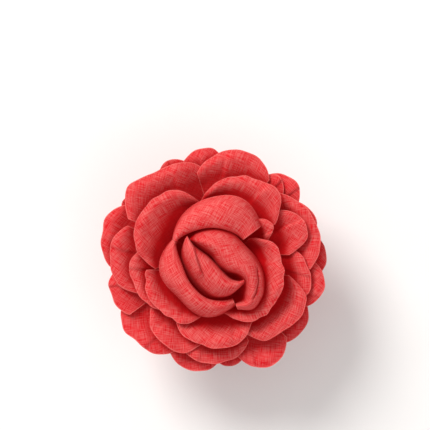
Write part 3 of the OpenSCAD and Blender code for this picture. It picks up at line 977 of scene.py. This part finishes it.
def grip_ridges(name, side, body):
    bars = []
    for step in RIDGE_STEPS:
        bar = bar_along_y(24, RIDGE_R, RIDGE_LENGTH, *tab_point(step, side))
        round_edges(bar, RIDGE_ROUNDING)
        bars.append(bar)
    for bar in bars:
        bar.select_set(True)
    bpy.ops.object.join()
    ridges = bpy.context.object
    ridges.name = name
    smooth_under(35)
    ridges.data.materials.append(plastic)
    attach(ridges, body)
    return ridges


print(grip_ridges("rear_grip_ridges", -1, "rear_jaw").name)
print(grip_ridges("front_grip_ridges", 1, "front_jaw").name)

# %% [markdown]
# ## Drawn steel
# The pin and the spring are steel that was pulled through a die, which leaves fine lines along it.
# The lines are noise stretched along Y, the direction of the pin, and they change the roughness and
# a very shallow bump. Metal needs no paint: its colour is its reflection.

# %% Steel material
def drawn_steel(name):
    recipe = Recipe(name)
    place = recipe.node("TexCoord", output="Object")
    lines = recipe.noise(recipe.stretched(place, (5200, 260, 5200)), 1, 3)
    stain = recipe.noise(place, 420, 4, 0.6)
    colour = recipe.blend(stain, (0.5, 0.49, 0.48, 1), (0.72, 0.72, 0.73, 1))
    return recipe.finish(
        Base_Color=colour,
        Metallic=1.0,
        Roughness=0.2 + lines * 0.18 + stain * 0.1,
        Normal=recipe.bump(lines, 0.01 * MM, 0.6),
    )


steel = drawn_steel("spring_steel")
print("steel nodes:", len(steel.node_tree.nodes))

# %% [markdown]
# ## The hinge pin
# The pin is a straight shaft with both ends hammered into low domes. It starts as a cylinder as long
# as the CAD pin. Its end faces are selected by their normals and pushed out into heads, and a Bevel
# turns each head into a dome.

# %% Domed pin
pin_low, pin_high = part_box("hinge_pin")
pin_length = (pin_high.y - pin_low.y) / MM
head_r = (pin_high.x - pin_low.x) / 2 / MM
PIN_R = 1.0
HEAD_T = 0.6
DOME_TOP = 0.62
DOME_ROUNDING = 0.12


def pull_face(length):
    move = {"value": (0, length * MM, 0)}
    bpy.ops.mesh.extrude_region_move(TRANSFORM_OT_translate=move)


def hammer_head(pin, side):
    """Widens the end face on one side of the pin and draws it out into a low dome."""
    bpy.ops.object.mode_set(mode="EDIT")
    bpy.ops.mesh.select_all(action="DESELECT")
    bpy.ops.object.mode_set(mode="OBJECT")
    for face in pin.data.polygons:
        face.select = face.normal.y * side > 0.9
    bpy.ops.object.mode_set(mode="EDIT")
    centre = (hinge_x * MM, side * pin_length / 2 * MM, hinge_z * MM)
    widen = head_r / PIN_R
    bpy.ops.mesh.extrude_region_move()
    bpy.ops.transform.resize(value=(widen, 1, widen), center_override=centre)
    pull_face(side * HEAD_T * 0.6)
    pull_face(side * HEAD_T * 0.4)
    bpy.ops.transform.resize(value=(DOME_TOP, 1, DOME_TOP), center_override=centre)
    bpy.ops.object.mode_set(mode="OBJECT")


pin = bar_along_y(40, PIN_R, pin_length - 2 * HEAD_T, hinge_x, hinge_z)
pin.name = "steel_pin"
hammer_head(pin, -1)
hammer_head(pin, 1)
round_edges(pin, DOME_ROUNDING, over_angle=25)
smooth_under(40)
pin.data.materials.append(steel)
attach(pin, "rear_jaw")
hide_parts("hinge_pin")
print("pin", round(pin_length, 1), "mm long with heads of", round(head_r, 2), "mm radius")

# %% [markdown] ## The torsion spring The spring is one wire: a leg under the front tab, five turns
# round the pin, and a leg under the rear tab. A wire is a path with a thickness, so it is drawn as
# a curve with a round bevel and then turned into a mesh.

# %% Spring wire
WIRE_R = 0.4
COIL_R = 2.1
COIL_HALF = 2.56
LEG_REACH, LEG_RISE = 7, 2.95
TURNS = 5
COIL_TURN = 360 * TURNS + 180 - 2 * TAB_ANGLE
RINGS_PER_TURN = 24


def leg_end(side):
    lean = math.radians(TAB_ANGLE)
    x = LEG_REACH * math.cos(lean) - LEG_RISE * math.sin(lean)
    z = LEG_REACH * math.sin(lean) + LEG_RISE * math.cos(lean)
    return (hinge_x + x, side * COIL_HALF, hinge_z + side * z)


def coil_point(share):
    angle = math.radians(90 + TAB_ANGLE + COIL_TURN * share)
    y = mix(COIL_HALF, -COIL_HALF, share)
    return (hinge_x + COIL_R * math.cos(angle), y, hinge_z + COIL_R * math.sin(angle))


ring_count = round(COIL_TURN / 360 * RINGS_PER_TURN)
path = [leg_end(1), *[coil_point(k / ring_count) for k in range(ring_count + 1)], leg_end(-1)]
wire_data = bpy.data.curves.new("steel_spring", "CURVE")
wire_data.dimensions = "3D"
wire_data.bevel_depth = WIRE_R * MM
wire_data.bevel_resolution = 4
wire_data.use_fill_caps = True
spline = wire_data.splines.new("POLY")
spline.points.add(len(path) - 1)
for point, place in zip(spline.points, path):
    point.co = (place[0] * MM, place[1] * MM, place[2] * MM, 1)
spring = bpy.data.objects.new("steel_spring", wire_data)
scene.collection.objects.link(spring)
use_only(spring)
bpy.ops.object.convert(target="MESH")
spring = bpy.context.object
smooth_under(50)
spring.data.materials.append(steel)
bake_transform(spring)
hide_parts("torsion_spring")
print("spring of", len(path), "rings and", len(spring.data.polygons), "faces")

# %% [markdown]
# ## Wool felt
# The petals' feet are fixed to a disc of wool felt. Felt has no threads: it is matted fibre, so its
# surface is short noise in every direction. The colour follows nearly the same noise as the bump and
# is darker where the bump is low: painted shade in the hollows of the nap, with some random tone.

# %% Felt material
def wool_felt(name):
    recipe = Recipe(name)
    place = recipe.node("TexCoord", output="Object")
    fibre = recipe.noise(place, 2400, 5, 0.7)
    tuft = recipe.noise(place, 520, 4, 0.65)
    # Painted shade and random tone: the low places of the bump get the darker felt colour.
    fibre_tone_and_shade = recipe.step(fibre * 0.6 + tuft * 0.5, 0.35, 0.75)
    colour = recipe.blend(fibre_tone_and_shade, (0.3, 0.018, 0.022, 1), (0.62, 0.07, 0.07, 1))
    return recipe.finish(
        Base_Color=colour,
        Roughness=0.95,
        Normal=recipe.bump(fibre * 0.5 + tuft, 0.25 * MM, 0.9),
        Sheen_Weight=0.4,
        Sheen_Roughness=0.6,
        Sheen_Tint=(1, 0.7, 0.66, 1),
        Specular_IOR_Level=0.15,
    )


felt_material = wool_felt("wool_felt")
print("felt nodes:", len(felt_material.node_tree.nodes))

# %% [markdown]
# ## The felt disc
# The disc is a low cylinder as wide and as thick as the CAD's. Scissors leave its edge soft and not
# quite round, so a Bevel softens it and slow waves go round it.

# %% Felt disc
FELT_ROUNDING = 0.4
felt_low, felt_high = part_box("felt_backing")
felt_t = (felt_high.z - felt_low.z) / MM
bpy.ops.object.select_all(action="DESELECT")
bpy.ops.mesh.primitive_cylinder_add(
    vertices=96, radius=felt_r * MM, depth=felt_t * MM,
    location=(0, 0, (felt_top - felt_t / 2) * MM))
felt = bpy.context.object
felt.name = "wool_felt"
bpy.ops.object.transform_apply(location=True, rotation=True, scale=True)
round_edges(felt, FELT_ROUNDING, segments=4)
for vertex in felt.data.vertices:
    around = math.atan2(vertex.co.y, vertex.co.x)
    out = 1 + 0.006 * math.sin(9 * around) + 0.004 * math.sin(23 * around + 1)
    vertex.co.x *= out
    vertex.co.y *= out
smooth_under(40)
felt.data.materials.append(felt_material)
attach(felt, "front_jaw")
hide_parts("felt_backing")

# %% [markdown]
# ## Cured glue
# Hot glue holds the felt to the front jaw. Glue is cloudy and lets some light in, so the material
# has a little subsurface scattering, a cloud of two creams and a few small bubbles.

# %% Glue material
def cured_glue(name):
    recipe = Recipe(name)
    place = recipe.node("TexCoord", output="Object")
    cloud = recipe.noise(place, 300, 4, 0.6)
    bubble = recipe.step(recipe.noise(place, 1300, 2), 0.62, 0.7)
    colour = recipe.blend(cloud, (0.68, 0.6, 0.45, 1), (0.85, 0.8, 0.68, 1))
    return recipe.finish(
        Base_Color=colour,
        Roughness=0.3 + cloud * 0.15,
        Normal=recipe.bump(cloud - bubble * 0.5, 0.2 * MM, 0.8),
        Subsurface_Weight=0.2,
        Subsurface_Scale=2 * MM,
    )


glue_material = cured_glue("cured_glue")
print("glue nodes:", len(glue_material.node_tree.nodes))

# %% [markdown]
# ## The glue pad
# The glue squeezed out a little when the felt was pressed down. The CAD's block is subdivided, its
# corners are drawn in, and its edge swells unevenly between the jaw and the felt.

# %% Glue pad
CORNER_DRAW, OOZE, BULGE = 0.35, 0.035, 0.05
glue_low, glue_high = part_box("glue_pad")
glue_middle = (glue_low + glue_high) / 2
glue_size = glue_high - glue_low
bpy.ops.object.select_all(action="DESELECT")
bpy.ops.mesh.primitive_cube_add(size=1, location=glue_middle, scale=glue_size)
glue = bpy.context.object
glue.name = "cured_glue"
bpy.ops.object.transform_apply(location=True, rotation=True, scale=True)
bpy.ops.object.mode_set(mode="EDIT")
bpy.ops.mesh.select_all(action="SELECT")
bpy.ops.mesh.subdivide(number_cuts=23)
bpy.ops.object.mode_set(mode="OBJECT")
for vertex in glue.data.vertices:
    offset = vertex.co - glue_middle
    around = math.atan2(offset.y * glue_size.x, offset.x * glue_size.y)
    edge = max(abs(offset.x) / glue_size.x, abs(offset.y) / glue_size.y) * 2
    corner = math.hypot(offset.x / glue_size.x, offset.y / glue_size.y) * 2
    draw_in = mix(1, edge / max(corner, 1e-6), CORNER_DRAW * edge**4)
    ooze = 1 + OOZE * edge**6 * (math.sin(5 * around) + 0.6 * math.sin(11 * around + 2))
    bulge = 1 + BULGE * edge**6 * math.cos(math.pi * offset.z / glue_size.z)
    vertex.co.x = glue_middle.x + offset.x * draw_in * ooze * bulge
    vertex.co.y = glue_middle.y + offset.y * draw_in * ooze * bulge
use_only(glue)
smooth_under(60)
glue.data.materials.append(glue_material)
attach(glue, "front_jaw")
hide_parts("glue_pad")
print("glue pad", [round(x / MM, 1) for x in glue_size], "mm")

# %% [markdown]
